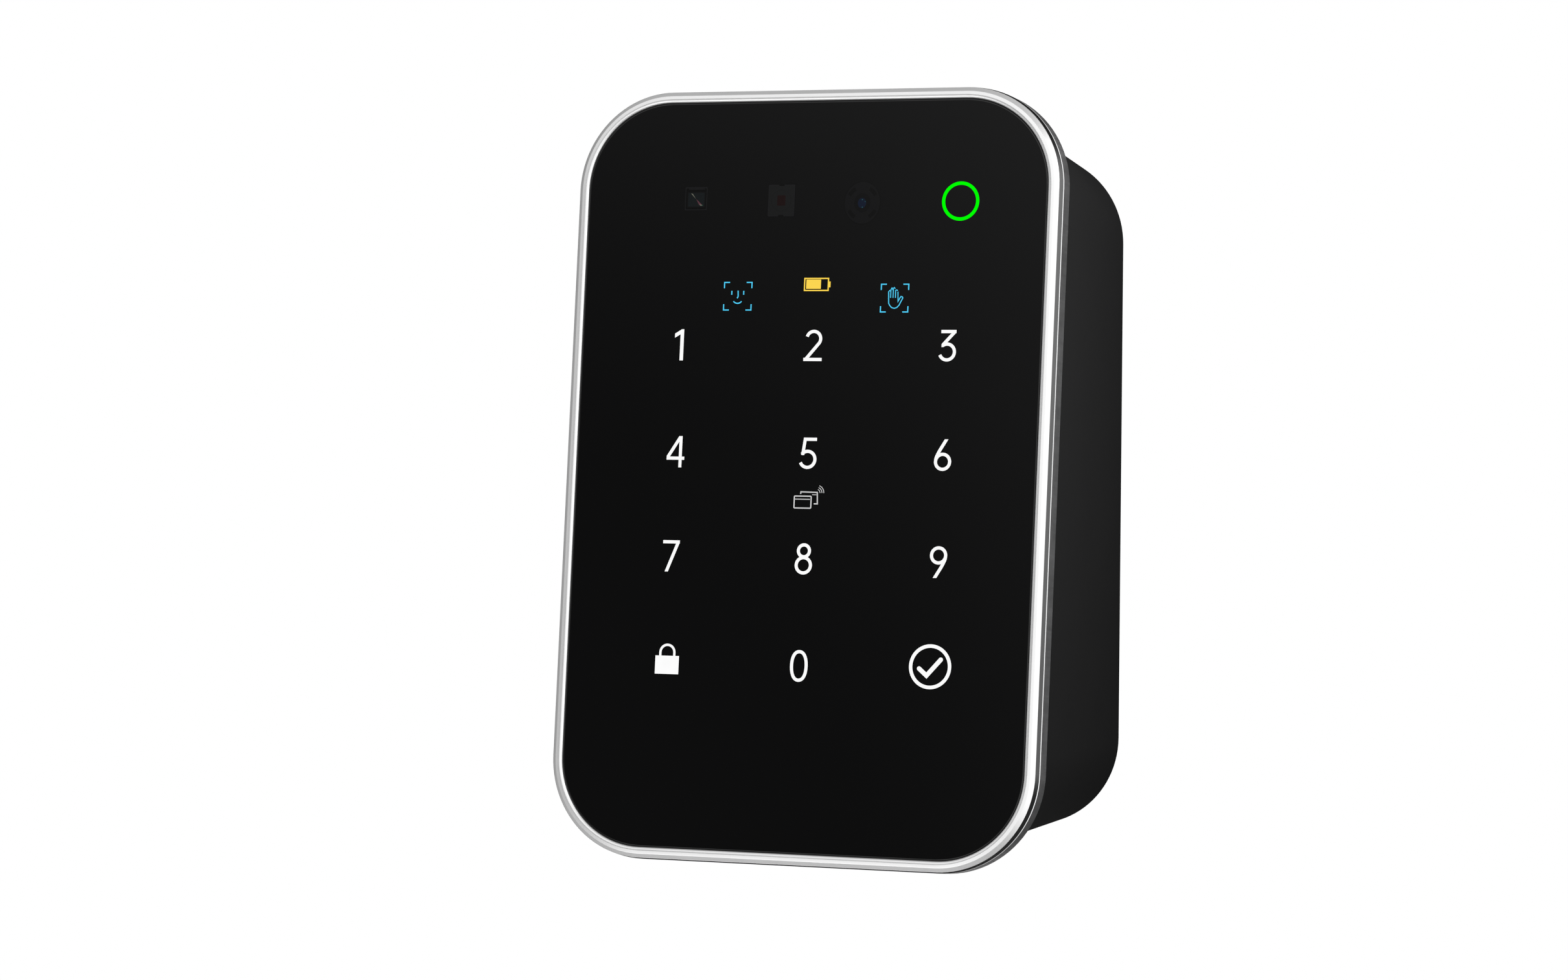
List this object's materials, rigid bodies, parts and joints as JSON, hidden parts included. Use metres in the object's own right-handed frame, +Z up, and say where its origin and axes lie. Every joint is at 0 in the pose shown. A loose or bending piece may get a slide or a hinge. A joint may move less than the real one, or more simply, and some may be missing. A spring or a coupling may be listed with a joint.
{
  "type": "wall-mounted access terminal",
  "caption": "Wall-mounted access terminal: tilted glass touch keypad with face, palm and card sensors, chrome ring, deep black housing, battery drawer and hang-on wall plate.",
  "frame": {"origin": "on the wall plane, at the middle of the housing's back outline, which is on the back face of the wall plate", "axes": "+X to the right of the person facing it, +Y into the wall, +Z up"},
  "size_m": [0.086, 0.0631, 0.1289],
  "materials": {
    "glass": "black back-printed glass, polished",
    "chrome": "polished chrome plating",
    "satin_metal": "satin anodised",
    "housing_plastic": "fine-grained matte moulding",
    "inner_plastic": "moulded, plain",
    "rubber": "soft matt",
    "foam": "closed-cell foam and film",
    "clear_plastic": "clear moulded light guide",
    "circuit_board": "green solder mask",
    "copper": "lacquered copper track",
    "ferrite": "flexible ferrite",
    "tin_plate": "tin plated",
    "steel": "turned steel, zinc plated",
    "black_steel": "black zinc",
    "chip_black": "moulded electronic part",
    "lamp_lens": "cast resin",
    "polyimide": "amber film",
    "terminal_green": "moulded terminal block",
    "cell_wrap": "printed sleeve, plain",
    "galvanised": "zinc coated pressed steel"
  },
  "bodies": {
    "wall_bracket": {"wall_plate": "galvanised", "wall_stud_left": "steel", "wall_stud_right": "steel"},
    "terminal": {"front_glass": "glass", "chrome_bezel": "chrome", "side_frame": "satin_metal", "glass_tape": "foam", "touch_film": "foam", "light_guide": "clear_plastic", "keypad_board": "circuit_board", "key_lamp_left": "lamp_lens", "key_lamp_right": "lamp_lens", "card_antenna": "copper", "ferrite_sheet": "ferrite", "dot_projector": "chip_black", "infrared_lamp": "chip_black", "camera_lens": "chip_black", "camera_body": "chip_black", "status_light_pipe": "clear_plastic", "status_lamp": "lamp_lens", "sensor_bracket": "inner_plastic", "sensor_board": "circuit_board", "front_chassis": "inner_plastic", "rear_housing": "housing_plastic", "rim_gasket": "rubber", "case_screw_top_left": "black_steel", "case_screw_top_right": "black_steel", "case_screw_bottom_left": "black_steel", "case_screw_bottom_right": "black_steel", "locking_screw": "steel", "main_board": "circuit_board", "processor_shield": "tin_plate", "radio_module": "tin_plate", "buzzer": "chip_black", "lock_terminal_block": "terminal_green", "usb_port": "steel", "reset_switch": "chip_black", "tamper_switch": "chip_black", "flex_ribbon": "polyimide", "cable_grommet": "rubber", "battery_bay": "inner_plastic"},
    "battery_drawer": {"battery_drawer": "housing_plastic", "drawer_screw": "black_steel", "battery_1": "cell_wrap", "battery_2": "cell_wrap", "battery_3": "cell_wrap", "battery_4": "cell_wrap", "contact_low_left": "tin_plate", "contact_low_right": "tin_plate", "contact_high_left": "tin_plate", "contact_high_middle": "tin_plate", "contact_high_right": "tin_plate"},
    "port_cover": {"port_cover": "rubber"},
    "reset_button": {"reset_button": "rubber"},
    "tamper_plunger": {"tamper_plunger": "rubber"}
  },
  "joints": [
    {"name": "terminal_lift", "type": "slide", "parent": "wall_bracket", "child": "terminal", "axis": [0, 0, 1], "range_m": [0, 0.006]},
    {"name": "drawer_slide", "type": "slide", "parent": "terminal", "child": "battery_drawer", "axis": [0, 0, -1], "range_m": [0, 0.058]},
    {"name": "port_cover_hinge", "type": "hinge", "parent": "terminal", "child": "port_cover", "pos_m": [0, -0.0436, -0.05867], "axis": [-1, 0, 0], "range_deg": [0, 120]},
    {"name": "reset_press", "type": "slide", "parent": "terminal", "child": "reset_button", "axis": [0, 0, 1], "range_m": [0, 0.0006], "stiffness_N_per_m": 800},
    {"name": "tamper_travel", "type": "slide", "parent": "terminal", "child": "tamper_plunger", "axis": [0, 1, 0], "range_m": [-0.0005, 0.0015], "stiffness_N_per_m": 200}
  ]
}
